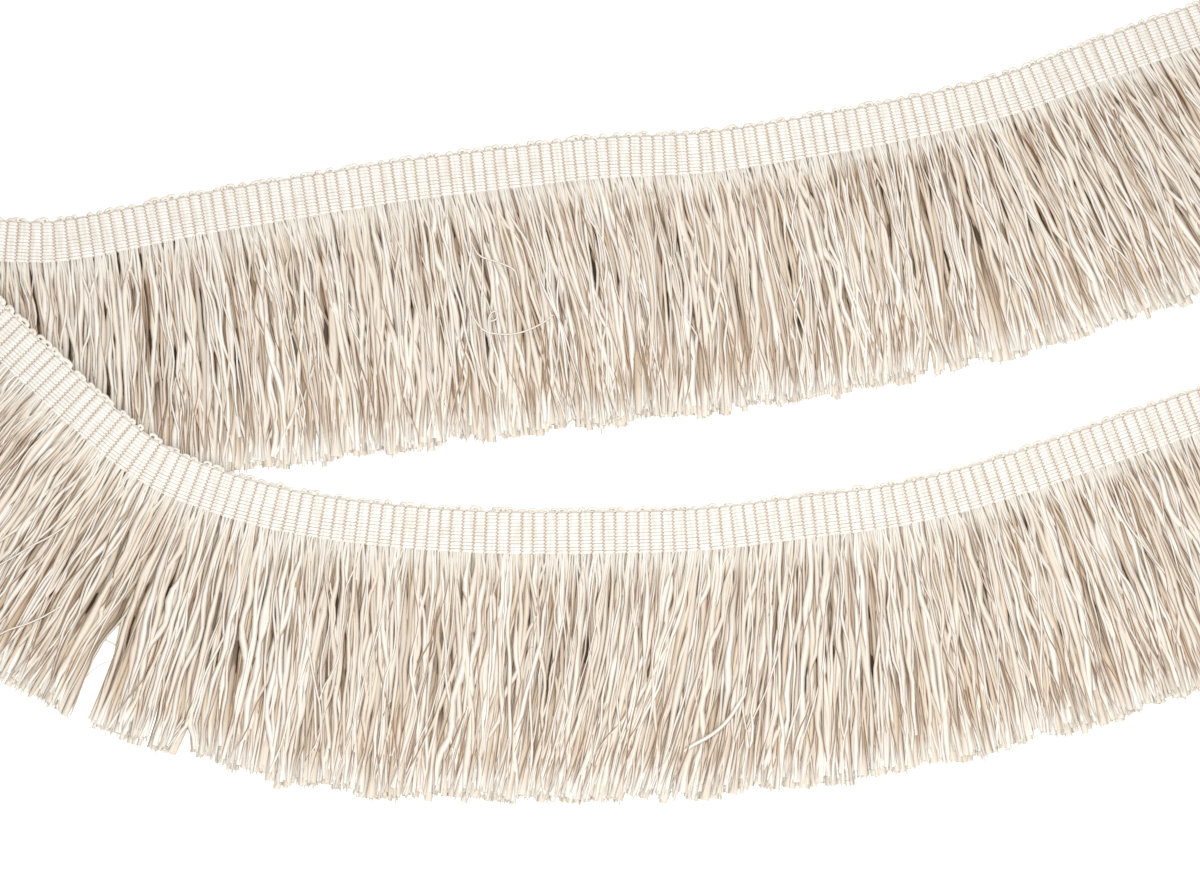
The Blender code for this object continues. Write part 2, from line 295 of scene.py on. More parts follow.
def scaledVector(tree, vector, scale):
    node = tree.nodes.new("ShaderNodeVectorMath")
    node.operation = "MULTIPLY"
    tree.links.new(vector, node.inputs[0])
    node.inputs[1].default_value = scale
    return node.outputs[0]


def noiseNode(tree, vector, scale, detail):
    node = tree.nodes.new("ShaderNodeTexNoise")
    setSockets(node, Scale=scale, Detail=detail)
    tree.links.new(vector, node.inputs["Vector"])
    return node.outputs["Fac"]


def surfaceMap(tree, name):
    node = tree.nodes.new("ShaderNodeUVMap")
    node.uv_map = name
    return node.outputs["UV"]


def splitVector(tree, vector):
    node = tree.nodes.new("ShaderNodeSeparateXYZ")
    tree.links.new(vector, node.inputs[0])
    return list(node.outputs)


def joinVector(tree, *parts):
    node = tree.nodes.new("ShaderNodeCombineXYZ")
    for part, socket in zip(parts, node.inputs):
        tree.links.new(part, socket)
    return node.outputs[0]


# Streaks of coarse and fine fibres: scales across and along the yarn, per mm
fibreLook = dict(coarse=(1.7, 0.10, 1.0), coarseDetail=2.0, fine=(5.5, 0.30, 1.0), fineDetail=3.0,
                 fineShare=0.45, streakRange=(0.35, 0.65))


def makeFibreGroup():
    # Place is across the yarn in x and along it in y, in mm
    group = bpy.data.node_groups.new("fibreStreaks", "ShaderNodeTree")
    group.interface.new_socket("Place", in_out="INPUT", socket_type="NodeSocketVector")
    for label in ("Streak", "Height"):
        group.interface.new_socket(label, in_out="OUTPUT", socket_type="NodeSocketFloat")
    ins, outs = group.nodes.new("NodeGroupInput"), group.nodes.new("NodeGroupOutput")
    coarse, fine = [noiseNode(group, scaledVector(group, ins.outputs["Place"], fibreLook[size]), 1.0,
                              fibreLook[size + "Detail"]) for size in ("coarse", "fine")]
    both = mathNode(group, "MULTIPLY_ADD", fine, fibreLook["fineShare"],
                    times(group, coarse, 1.0 - fibreLook["fineShare"]))
    group.links.new(rangeNode(group, both, *fibreLook["streakRange"]), outs.inputs["Streak"])
    group.links.new(both, outs.inputs["Height"])
    return group


fibreGroup = makeFibreGroup()


def placeFibres(tree, place):
    node = tree.nodes.new("ShaderNodeGroup")
    node.node_tree = fibreGroup
    tree.links.new(place, node.inputs["Place"])
    return node.outputs


def newCloth(name, finish):
    material = bpy.data.materials.new(name)
    material.use_nodes = True
    shader = material.node_tree.nodes["Principled BSDF"]
    setSockets(shader, Roughness=finish["roughness"], SpecularIORLevel=finish["specular"],
               SheenWeight=finish["sheen"], SheenRoughness=finish["sheenRoughness"])
    return material, material.node_tree, shader


def addBump(tree, shader, height, finish):
    node = tree.nodes.new("ShaderNodeBump")
    setSockets(node, Strength=finish["bumpStrength"], Distance=finish["bumpDistance"])
    tree.links.new(height, node.inputs["Height"])
    tree.links.new(node.outputs["Normal"], shader.inputs["Normal"])


# Cotton, as yarn or woven
cotton = dict(specular=0.1, sheen=0.03, sheenRoughness=0.5, bumpStrength=0.8)

# girth: mm round a strand. ownStep: how far apart two strands' patterns lie. rim: painted shade on the thin
# edges of a flattened yarn. slot: painted shadow in the darkest places, from where in a noise, and at what
# share of painted shade
yarnFinish = dict(
    cotton, pale=(0.683, 0.683, 0.665), warm=(0.57, 0.483, 0.375), shaded=(0.14, 0.075, 0.035),
    rim=(0.31, 0.17, 0.08), rimShare=0.9, rimPower=2.8, streakDark=(0.78, 0.69, 0.56), streakShare=0.40,
    girth=5.0, ownStep=37.0,
    slot=(0.04, 0.027, 0.016), slotScale=(0.3, 0.12, 1.0), slotRange=(0.50, 0.56), slotDepths=(0.3, 0.6),
    roughness=0.9, bumpDistance=0.12 * mm,
)
# the cord and loops get a lighter, narrower painted edge shade
edgeFinish = dict(yarnFinish, pale=(0.69, 0.68, 0.65), warm=(0.65, 0.62, 0.57), rim=(0.50, 0.37, 0.25),
                  rimShare=0.25, rimPower=6.0, girth=2.5)


def makeYarnMaterial(name, finish):
    material, tree, shader = newCloth(name, finish)
    # strand: tone, share of painted shade (below 0 where the painted edge shade is left off), and a number of
    # its own
    strand = tree.nodes.new("ShaderNodeAttribute")
    strand.attribute_name = "strand"
    tone, deep, own = splitVector(tree, strand.outputs["Vector"])
    # yarn: share of the way round, and mm along the strand
    around, down = splitVector(tree, surfaceMap(tree, "yarn"))[:2]
    place = joinVector(tree, times(tree, around, finish["girth"]), down, times(tree, own, finish["ownStep"]))
    fibres = placeFibres(tree, place)
    colour = mixColours(tree, tone, finish["warm"], finish["pale"])
    darker = times(tree, mathNode(tree, "SUBTRACT", 1.0, fibres["Streak"]), finish["streakShare"])
    colour = mixColours(tree, darker, colour, finish["streakDark"], "MULTIPLY")
    # painted shade: the thin edges of a flattened yarn, where it lies against its neighbours, are darkened
    flankShade = mathNode(tree, "ABSOLUTE", mathNode(tree, "COSINE", times(tree, around, 2 * math.pi)))
    flankShade = times(tree, mathNode(tree, "POWER", flankShade, finish["rimPower"]), finish["rimShare"])
    flankShade = times(tree, flankShade, rangeNode(tree, deep, -1.0, 0.0, smooth=False))
    colour = mixColours(tree, flankShade, colour, finish["rim"], "MULTIPLY")
    # painted shade: strands lower in the fringe take the shaded colour
    colour = mixColours(tree, deep, colour, finish["shaded"])
    # painted shadow: short near-black slots on the lowest, most shaded strands, where no light reaches
    slotShadow = noiseNode(tree, scaledVector(tree, place, finish["slotScale"]), 1.0, 1.0)
    slotShadow = rangeNode(tree, slotShadow, *finish["slotRange"])
    slotShadow = times(tree, slotShadow, rangeNode(tree, deep, *finish["slotDepths"]))
    tree.links.new(mixColours(tree, slotShadow, colour, finish["slot"]), shader.inputs["Base Color"])
    addBump(tree, shader, fibres["Height"], finish)
    return material


# valleyHalf, zigzag: shares of a rib. lineHalf: share of a row. The other ranges and depths are shares of
# the heading's depth, and patch and stripe ranges are of a noise
headingFinish = dict(
    cotton, rib=(0.655, 0.65, 0.632), stripe=(0.59, 0.565, 0.52), valley=(0.40, 0.29, 0.20),
    line=(0.32, 0.265, 0.215), warpRows=12.0, valleyHalf=0.10, zigzag=0.085, lineHalf=0.10,
    linesFrom=(0.25, 0.6), linesLow=0.3,
    patchStep=(0.37, 0.61), patchScale=2.3, patchRange=(0.42, 0.66), patchLow=0.2,
    stripeScale=(4.3, 1.3, 1.0), stripeRange=(0.42, 0.64), fibreScale=(3.1, 11.2, 1.0), knotDepth=0.07,
    topDepth=0.03, lineShare=0.85, valleyShare=0.85, knotShare=0.6, topShare=0.2,
    rowRelief=-0.95, lineRelief=-0.6, fibreRelief=0.5, valleyRelief=-0.6,
    roughness=0.85, bumpDistance=0.13 * mm,
)


def makeHeadingMaterial(finish):
    material, tree, shader = newCloth("headingCotton", finish)
    # weave: rib number, and depth as a share of the heading
    weave = surfaceMap(tree, "weave")
    rib, depth = splitVector(tree, weave)[:2]
    offCrest = mathNode(tree, "SUBTRACT", mathNode(tree, "FRACT", rib), 0.5)
    toValley = mathNode(tree, "SUBTRACT", 0.5, mathNode(tree, "ABSOLUTE", offCrest))
    rows = times(tree, depth, finish["warpRows"])
    # the valley line between the ribs is partly painted shade and partly the warp that shows there
    # the warp dips under at every valley, one row earlier and the next later, so its edge zigzags
    rowWave = mathNode(tree, "SINE", times(tree, rows, 2 * math.pi))
    zigzag = times(tree, times(tree, rowWave, mathNode(tree, "SIGN", offCrest)), finish["zigzag"])
    valley = rangeNode(tree, mathNode(tree, "ADD", toValley, zigzag), 0.0, finish["valleyHalf"], 1.0, 0.0)
    knot = times(tree, valley, rangeNode(tree, depth, 0.0, finish["knotDepth"], 1.0, 0.0))
    # fine line between two warp rows, on some ribs and rows only
    fromRow = mathNode(tree, "ABSOLUTE", mathNode(tree, "SUBTRACT", mathNode(tree, "FRACT", rows), 0.5))
    rowEdge = rangeNode(tree, fromRow, 0.5 - finish["lineHalf"], 0.5)
    ribStep, rowStep = finish["patchStep"]
    row = mathNode(tree, "FLOOR", mathNode(tree, "ADD", rows, 0.5))
    cell = joinVector(tree, times(tree, mathNode(tree, "FLOOR", rib), ribStep), times(tree, row, rowStep))
    patchy = noiseNode(tree, cell, finish["patchScale"], 2.0)
    patchy = rangeNode(tree, patchy, *finish["patchRange"], finish["patchLow"], 1.0)
    lower = rangeNode(tree, depth, *finish["linesFrom"], finish["linesLow"], 1.0)
    lines = times(tree, times(tree, rowEdge, patchy), lower)
    stripes = noiseNode(tree, scaledVector(tree, weave, finish["stripeScale"]), 1.0, 2.0)
    stripes = rangeNode(tree, stripes, *finish["stripeRange"])
    colour = mixColours(tree, stripes, finish["rib"], finish["stripe"])
    # painted shade: a thin line of the valley colour along the top edge of the ribs, under the cord
    top = rangeNode(tree, depth, 0.0, finish["topDepth"], 1.0, 0.0)
    for mask, share, paint in ((lines, "lineShare", "line"), (valley, "valleyShare", "valley"),
                               (knot, "knotShare", "line"), (top, "topShare", "valley")):
        colour = mixColours(tree, times(tree, mask, finish[share]), colour, finish[paint])
    tree.links.new(colour, shader.inputs["Base Color"])
    fibres = placeFibres(tree, scaledVector(tree, weave, finish["fibreScale"]))
    relief = times(tree, rowEdge, finish["rowRelief"])
    for height, share in ((lines, "lineRelief"), (fibres["Height"], "fibreRelief"), (valley, "valleyRelief")):
        relief = mathNode(tree, "MULTIPLY_ADD", height, finish[share], relief)
    addBump(tree, shader, relief, finish)
    return material


yarnMaterial = makeYarnMaterial("fringeYarn", yarnFinish)
edgeMaterial = makeYarnMaterial("edgeYarn", edgeFinish)
headingMaterial = makeHeadingMaterial(headingFinish)
print("materials ready")

# Heading band: crowned ribs on both faces, rounded edges
heading = dict(
    # places across a rib, and down the heading, where it has a row of points
    phases=(0.0, 0.045, 0.12, 0.28, 0.5, 0.72, 0.88, 0.955),
    rowDepths=np.array([0.0, 0.12, 0.4, 1.0, 1.8, 2.6, 3.4, 4.2, 5.0, 5.8, 6.6, 7.4, 8.2, 9.0, 9.8, 10.5,
                        10.9, 11.1, 11.2]) * mm,
    crownPower=4.2, valleySink=0.38 * mm, edgeRound=0.4 * mm, edgeShare=0.5,
    edgeBlend=3.0 * mm, scallop=0.35 * mm, pitchVariation=0.05, depthVariation=0.25 * mm, seed=5,
)


def straightBar(columns, rows):
    bm = bmesh.new()
    bmesh.ops.create_cube(bm, size=1.0)
    longEdges = [e for e in bm.edges if abs(e.verts[0].co.x - e.verts[1].co.x) > 0.5]
    bmesh.ops.subdivide_edges(bm, edges=longEdges, cuts=columns - 1, use_grid_fill=True)
    crossEdges = [e for e in bm.edges if abs(e.verts[0].co.y - e.verts[1].co.y) > 0.5]
    bmesh.ops.subdivide_edges(bm, edges=crossEdges, cuts=rows - 1, use_grid_fill=True)
    return bm


def readVector(data, name, width):
    values = np.empty(len(data) * width)
    data.foreach_get(name, values)
    return values.reshape(-1, width)


def addObject(name, mesh, material):
    mesh.materials.append(material)
    obj = linkObject(name, mesh)
    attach(obj, "root")
    return obj


def makeHeading():
    rng = np.random.default_rng(heading["seed"])
    perRib, ribs = len(heading["phases"]), path["ribs"]
    rows = len(heading["rowDepths"]) - 1
    bm = straightBar(perRib * ribs, rows)
    mesh = bpy.data.meshes.new("headingBand")
    bm.to_mesh(mesh)
    bm.free()
    unit = readVector(mesh.vertices, "co", 3)
    column = np.rint((unit[:, 0] + 0.5) * perRib * ribs).astype(int)
    row = np.rint((unit[:, 1] + 0.5) * rows).astype(int)
    rib, step = np.divmod(column, perRib)
    phase = np.array(heading["phases"])[step]
    drift = np.concatenate(([0.0], rng.uniform(-1, 1, ribs - 1) * heading["pitchVariation"], [0.0, 0.0]))
    ribPlace = rib + phase + drift[rib] * (1 - phase) + drift[np.minimum(rib + 1, ribs)] * phase
    crown = 1.0 - np.abs(2.0 * phase - 1.0) ** heading["crownPower"]
    half = trim["headingThick"] / 2 - heading["valleySink"] * (1.0 - crown)
    depth = heading["rowDepths"][row]
    nearEdge = np.minimum(depth, trim["headingDepth"] - depth) / heading["edgeRound"]
    rounding = np.sqrt(1.0 - (1.0 - np.clip(nearEdge, 0.0, 1.0)) ** 2)
    half = half * (heading["edgeShare"] + (1.0 - heading["edgeShare"]) * rounding)
    topShare = 1.0 - smoothStep(depth / heading["edgeBlend"])
    lowShare = 1.0 - smoothStep((trim["headingDepth"] - depth) / heading["edgeBlend"])
    ribEnd = rng.uniform(-1, 1, ribs + 2)[rib] * heading["depthVariation"]
    depth = depth - topShare * heading["scallop"] * crown + lowShare * ribEnd * crown
    height = trim["headingThick"] / 2 + np.sign(unit[:, 2]) * half
    plan, z = layTrim(ribPlace * trim["ribPitch"], depth, height)
    plan = plan + trim["centreShift"]
    mesh.vertices.foreach_set("co", np.column_stack((plan, z)).ravel())
    corners = np.empty(len(mesh.loops), dtype=int)
    mesh.loops.foreach_get("vertex_index", corners)
    uv = mesh.uv_layers.new(name="weave")
    weave = np.column_stack((rib + phase, depth / trim["headingDepth"]))[corners]
    uv.data.foreach_set("uv", weave.ravel())
    mesh.shade_smooth()
    mesh.update()
    obj = addObject("headingBand", mesh, headingMaterial)
    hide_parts("heading")
    return obj


# Yarns: one closed tube of a few sides, copied for each strand and bent along its line
def tubeTemplate(rings, sides):
    bm = bmesh.new()
    bmesh.ops.create_cone(bm, segments=sides, radius1=1.0, radius2=1.0, depth=1.0, cap_ends=True)
    longEdges = [e for e in bm.edges if abs(e.verts[0].co.z - e.verts[1].co.z) > 0.5]
    bmesh.ops.subdivide_edges(bm, edges=longEdges, cuts=rings - 2, use_grid_fill=True)
    uv = bm.loops.layers.uv.new("yarn")
    for face in bm.faces:
        cap = len(face.verts) == sides and abs(face.normal.z) > 0.5
        face.smooth = not cap
        turns = [math.atan2(loop.vert.co.y, loop.vert.co.x) / (2 * math.pi) % 1.0 for loop in face.loops]
        if not cap and max(turns) - min(turns) > 0.5:
            turns = [turn + 1.0 if turn < 0.5 else turn for turn in turns]
        for loop, turn in zip(face.loops, turns):
            loop[uv].uv = (turn, loop.vert.co.z + 0.5)
        if cap:
            for edge in face.edges:
                edge.smooth = False
    mesh = bpy.data.meshes.new("tube")
    bm.to_mesh(mesh)
    bm.free()
    return mesh


def bendStrands(part, template):
    # corner places and surface map of every strand: the template's rings set across the strand's line
    count, rings = part["wide"].shape
    unit = readVector(template.vertices, "co", 3)
    ring = np.rint((unit[:, 2] + 0.5) * (rings - 1)).astype(int)
    around = np.arctan2(unit[:, 1], unit[:, 0])
    centres = part["centres"]
    ahead = unitLength(np.gradient(centres, axis=1))
    sideways = unitLength(np.cross((0.0, 0.0, 1.0), ahead))
    upward = np.cross(ahead, sideways)
    cosine, sine = np.cos(part["turn"])[..., None], np.sin(part["turn"])[..., None]
    flatWay = (sideways * cosine + upward * sine) * part["wide"][..., None]
    edgeWay = (upward * cosine - sideways * sine) * part["thin"][..., None]
    across = np.sign(np.cos(around)) * np.abs(np.cos(around)) ** part["shoulder"]
    points = (centres[:, ring] + flatWay[:, ring] * across[:, None]
              + edgeWay[:, ring] * np.sin(around)[:, None])
    points[..., 2] = np.maximum(points[..., 2], 0.0)      # nothing reaches below the table
    uvUnit = readVector(template.uv_layers["yarn"].data, "uv", 2)
    length = np.linalg.norm(np.diff(centres, axis=1), axis=2).sum(axis=1)
    size = np.stack((np.ones(count), length / mm), axis=1)
    return points.ravel(), (uvUnit * size[:, None]).ravel(), part["info"][:, ring].ravel()


def layStrands(name, parts, material):
    # each part has centres: strand, ring, xyz; wide and thin: half sizes; turn: radians from lying flat;
    # shoulder: 1 for a round section, less for one with a flat top; sides of the section
    bm = bmesh.new()
    blocks = []
    for part in parts:
        count, rings = part["wide"].shape
        template = tubeTemplate(rings, part["sides"])
        for strand in range(count):
            bm.from_mesh(template)
        blocks.append(bendStrands(part, template))
        bpy.data.meshes.remove(template)
    mesh = bpy.data.meshes.new(name)
    bm.to_mesh(mesh)
    bm.free()
    points, uv, info = (np.concatenate(block) for block in zip(*blocks))
    mesh.vertices.foreach_set("co", points)
    mesh.uv_layers["yarn"].data.foreach_set("uv", uv)
    mesh.attributes.new("strand", "FLOAT_VECTOR", "POINT").data.foreach_set("vector", info)
    mesh.update()
    return addObject(name, mesh, material)


def strandPart(plan, z, **rest):
    centres = np.concatenate((plan + trim["centreShift"], z[..., None]), axis=2)
    return dict(dict(centres=centres, sides=6, shoulder=1.0), **rest)


def strandInfo(tone, deep):
    # per strand and ring: tone, depth in the fringe, and a number of the strand's own
    own = np.linspace(0.0, 1.0, len(tone))
    return np.stack(np.broadcast_arrays(tone, deep, own[:, None]), axis=-1)


# Layers of the fringe from the table up. perRib: strands under each rib. level: share of the stack.
# wide, thin, root: half width, half thickness and half width at the heading, in mm. stray: degrees that a
# strand wanders of its own. kink: degrees of its short bends. sway: share of the waves that neighbours share.
# deep: share of painted shade colour, and of strands that have it. tone: range from warm to pale, warmer in
# the lower layers as painted shade. twist: turns along the strand. group: ribs that gather into one tuft.
# jitter: how unevenly the roots are spaced.
# squeeze: how far they draw in from the valleys. fan: share that a strand widens towards its tip.
layerBase = dict(sway=1.0, jitter=0.32, root=0.32, squeeze=0.16, fan=0.0)
fringe = dict(
    shoulder=0.5, ringPower=1.12, seed=23, waveSeed=100,
    # depths in the heading where a strand starts and leaves it, and heights there
    rootDepth=10.2 * mm, leaveDepth=11.2 * mm, rootMiddle=0.75 * mm, rootLow=0.40 * mm, rootHigh=1.27 * mm,
    # height of the stack in mm at shares of the drop
    stackShares=(0.0, 0.14, 0.55, 1.0), stackHeights=(1.6, 2.1, 2.3, 0.8), levelSpread=0.09,
    clear=0.03 * mm, settleBy=0.13, aside=0.1 * mm,
    # length past the drop, the same for the lowest layers, and how it varies
    past=0.5 * mm, hem=0.8 * mm, dropVariation=1.5 * mm, dropSpread=0.5, dropRange=(-1.6, 1.2),
    shortFrom=0.6, shortShare=0.16, shortBy=(2.0 * mm, 8.0 * mm), lowestBelow=0.3,
    layers=[
        dict(layerBase, rings=12, perRib=2.7, level=0.02, wide=(0.85, 1.05), thin=(0.15, 0.20), stray=0.7,
             kink=0.0, sway=0.35, twist=0.03, deep=(0.85, 1.0), tone=(0.0, 0.3), group=0.0, jitter=0.12,
             root=0.7, squeeze=0.0, fan=0.4),
        dict(layerBase, rings=14, perRib=2.6, level=0.20, wide=(0.55, 0.95), thin=(0.18, 0.24), stray=1.8,
             kink=2.0, sway=0.6, twist=0.12, deep=(0.65, 0.85), tone=(0.0, 0.3), group=0.9, jitter=0.3,
             root=0.45, squeeze=0.1, fan=0.2),
        dict(layerBase, rings=21, perRib=2.8, level=0.42, wide=(0.40, 0.95), thin=(0.24, 0.32), stray=2.8,
             kink=3.5, twist=0.3, deep=(0.48, 0.6), tone=(0.0, 0.7), group=0.62, jitter=0.3),
        dict(layerBase, rings=23, perRib=2.8, level=0.66, wide=(0.40, 1.05), thin=(0.26, 0.36), stray=3.4,
             kink=4.8, twist=0.33, deep=(0.25, 0.4), tone=(0.25, 1.0), group=0.8),
        dict(layerBase, rings=23, perRib=2.1, level=0.88, wide=(0.36, 1.10), thin=(0.26, 0.36), stray=4.2,
             kink=6.0, twist=0.38, deep=(0.1, 0.2), tone=(0.5, 1.0), group=1.3),
        dict(layerBase, rings=20, perRib=0.7, level=1.0, wide=(0.22, 0.45), thin=(0.20, 0.26), stray=6.5,
             kink=7.0, twist=0.3, deep=(0.0, 0.0), tone=(0.8, 1.0), group=0.9, jitter=0.4, root=0.26),
    ],
    # slow waves that neighbours share: length along the trim in mm, lean in degrees, change down the fringe
    waves=[(31.0, 2.6, 2.2), (17.0, 2.4, 3.1), (9.5, 2.0, 3.9), (6.2, 1.6, 5.0)],
    # waves in the length of the fringe: length along the trim and size, both in mm
    hemWaves=[(27.0, 0.6), (11.3, 0.5), (6.1, 0.4)],
    # gaps through to the table near the tips: where they start and end, half their width there, and how far
    # to each side the strands are pushed together, all in mm
    gaps=[
        dict(start=(-128.0, -44.0), end=(-136.3, -72.5), half=2.25, reach=12.0),
        dict(start=(-109.3, -74.0), end=(-109.9, -85.7), half=2.6, reach=8.0),
        dict(start=(89.5, 30.0), end=(89.0, 17.1), half=1.6, reach=7.0),
        dict(start=(93.7, 26.0), end=(93.6, 18.2), half=1.2, reach=4.5),
    ],
    gapOpenBy=0.55, gapEnd=1.6,
)

# Bends of a strand: turns are whole waves down its length, and shares are of its drop or its stray
bending = dict(steps=3, swayStart=0.35, swayGrowth=1.3, rootStray=0.5, midStray=0.9, turns=(1.0, 2.6),
               kinkTurns=1.6, fineKink=0.5, fineTurns=3.1, phaseSpread=0.7, freeBy=0.2, wildShare=0.12,
               wildTimes=2.4)

# Tufts: how closely their strands gather, where down the fringe, and how far the whole tuft drifts
tuft = dict(gather=(0.15, 0.8), peak=(0.3, 0.75), drift=0.18, reach=0.3, startBy=0.12)

# Section of a strand: slubs are its thicker and thinner places, and flare is at its cut end
section = dict(widePower=1.15, bloomBy=0.16, slub=0.2, slubPace=2.5, slubThin=0.1, flare=(0.7, 1.2),
               endThin=0.35, tilt=0.35, twistMiddle=(0.2, 0.8))

# Painted shade and light of the strands: rib numbers and shares of the drop between which they change
shade = dict(spread=(0.6, 1.15), over=0.75, far=0.5, farRibs=(85.0, 110.0),
             rightRibs=((70.0, 20.0), (205.0, 235.0)), start=0.02, full=0.20, sooner=0.11, slit=0.7,
             slitFrom=(0.38, 0.46), fade=0.85, fadeShares=(0.5, 0.9), light=0.8, lightTip=(0.9, 1.0),
             paleTip=(0.8, 0.98), paleLowest=0.55, paleRoot=0.65, paleRootBy=0.12)

# Short fibres out of the cut ends: half their width in mm at root, middle and tip, and degrees
fray = dict(perRib=14, sides=3, half=(0.12, 0.10, 0.03), halfSpread=(0.7, 1.3), within=0.8 * mm,
            reach=(1.4 * mm, 3.0 * mm), spread=9.0, stray=11.0, rise=0.25 * mm, bend=0.12 * mm,
            tone=(0.4, 1.0))

# Groups of the fringe in the order of the ribs, and the last rib of each
backings = [("back_right", 41), ("back_middle", 82), ("back_left", 117), ("fold", 131), ("front_left", 160),
            ("front_middle", 204), ("front_right", path["ribs"])]


def sharedLean(along, share, phases):
    lean = 0.0
    for (wave, size, change), phase in zip(fringe["waves"], phases):
        lean = lean + size * np.sin(2 * np.pi * along / (wave * mm) + change * share + phase)
    return lean


def tufts(rng, ribPlace, share, size):
    # sideways shift of strands that gather into tufts part of the way down, in metres along the trim
    if size == 0.0:
        return 0.0, rng.uniform(0, 2 * np.pi, len(ribPlace))
    start = rng.uniform(0.0, 1.0)
    own = np.floor(ribPlace / size + start)
    number = (own - own.min()).astype(int)
    middle = (own + 0.5 - start) * size
    groups = number.max() + 1
    gather, peak = rng.uniform(*tuft["gather"], groups)[number], rng.uniform(*tuft["peak"], groups)[number]
    drift = rng.normal(0.0, tuft["drift"], groups)[number]
    near = np.exp(-((share - peak[:, None]) / tuft["reach"]) ** 2) * smoothStep(share / tuft["startBy"])
    shift = near * (drift - gather * (ribPlace - middle))[:, None] * trim["ribPitch"]
    return shift, rng.uniform(0, 2 * np.pi, groups)[number]


def openGaps(plan):
    # strands beside a gap are combed away from its middle, each to the side it mostly lies on
    for gap in fringe["gaps"]:
        start, end = np.array(gap["start"]) * mm, np.array(gap["end"]) * mm
        half, reach = gap["half"] * mm, gap["reach"] * mm
        length = np.linalg.norm(end - start)
        down = (end - start) / length
        across = np.array((-down[1], down[0]))
        beyond, off = (plan - start) @ down, (plan - start) @ across
        opened = smoothStep(beyond / (fringe["gapOpenBy"] * length)) * (beyond < fringe["gapEnd"] * length)
        near = opened * (np.abs(off) < reach)
        side = np.where((off * near).sum(axis=1) < 0, -1.0, 1.0)[:, None]
        away = off * side
        push = opened * (half * np.clip(1.0 - away / reach, 0.0, 1.0) + np.maximum(-away, 0.0))
        push = np.where(near.sum(axis=1)[:, None] > 0, push, 0.0)
        plan = plan + (side * push)[..., None] * across
    return plan


def strandLengths(rng, layer, along, drop):
    count = len(along)
    hem = fringe["hem"] if layer["level"] < fringe["lowestBelow"] else 0.0
    for wave, size in fringe["hemWaves"]:
        hem = hem + size * mm * np.sin(2 * np.pi * along / (wave * mm) + wave)
    vary = np.clip(rng.normal(0.0, fringe["dropSpread"], count), *fringe["dropRange"])
    length = drop + fringe["past"] + hem + vary * fringe["dropVariation"]
    if layer["level"] > fringe["shortFrom"]:
        isShort = rng.uniform(0, 1, count) < fringe["shortShare"]
        length = length - isShort * rng.uniform(*fringe["shortBy"], count)
    return length


def strandHabits(rng, layer, ribPlace, share):
    # how each strand wanders, bends and joins its tuft
    count = len(ribPlace)
    stray = rng.normal(0.0, layer["stray"], (3, count))
    stray[1] *= np.where(rng.uniform(0, 1, count) < bending["wildShare"], bending["wildTimes"], 1.0)
    kink = rng.normal(0.0, layer["kink"], (2, count))
    wave = rng.uniform(0, 2 * np.pi, (2, count))
    turns = rng.uniform(*bending["turns"], (2, count))
    shift, tuftPhase = tufts(rng, ribPlace, share, layer["group"])
    kinkPhase = tuftPhase + rng.normal(0.0, bending["phaseSpread"], count)
    return dict(stray=stray, kink=kink, wave=wave, turns=turns, shift=shift, kinkPhase=kinkPhase)


def addOwnLean(lean, habits, t):
    # degrees, at a share t of the strand's length
    stray, kink, wave, turns = (habits[name] for name in ("stray", "kink", "wave", "turns"))
    lean = lean + stray[0] * bending["rootStray"] + stray[1] * t
    lean = lean + stray[2] * bending["midStray"] * np.sin(wave[0] + 2 * np.pi * turns[0] * t)
    lean = lean + kink[0] * np.sin(habits["kinkPhase"] + 2 * np.pi * (bending["kinkTurns"] + turns[1]) * t)
    fineWave = np.sin(wave[1] + 2 * np.pi * (bending["fineTurns"] + turns[0]) * t)
    return lean + kink[1] * bending["fineKink"] * fineWave


def strandSections(rng, layer, share, habits, count):
    # half width, half thickness and turn of every ring
    wide = rng.uniform(0.0, 1.0, count) ** section["widePower"]
    wide = (layer["wide"][0] + (layer["wide"][1] - layer["wide"][0]) * wide) * mm
    thin = rng.uniform(*layer["thin"], count) * mm
    root = layer["root"] * mm
    bloom = root + (wide[:, None] - root) * smoothStep(share / section["bloomBy"])
    wave, turns = habits["wave"][1][:, None], habits["turns"][1][:, None]
    slub = 1.0 + section["slub"] * np.sin(wave + 2 * np.pi * turns * section["slubPace"] * share)
    wide = bloom * slub * (1.0 + layer["fan"] * share)
    thin = thin[:, None] * (1.0 - section["slubThin"] + section["slubThin"] * slub)
    # the cut ends spread flat
    flare = rng.uniform(*section["flare"], count)
    wide[:, -2] *= 0.5 + 0.5 * flare
    wide[:, -1] *= flare
    thin[:, -1] *= section["endThin"]
    tilt = rng.uniform(-section["tilt"], section["tilt"], count)[:, None]
    twist = rng.normal(0.0, layer["twist"], count)[:, None]
    middle = rng.uniform(*section["twistMiddle"], count)[:, None]
    return wide, thin, tilt + 2 * np.pi * (twist * (share - middle))


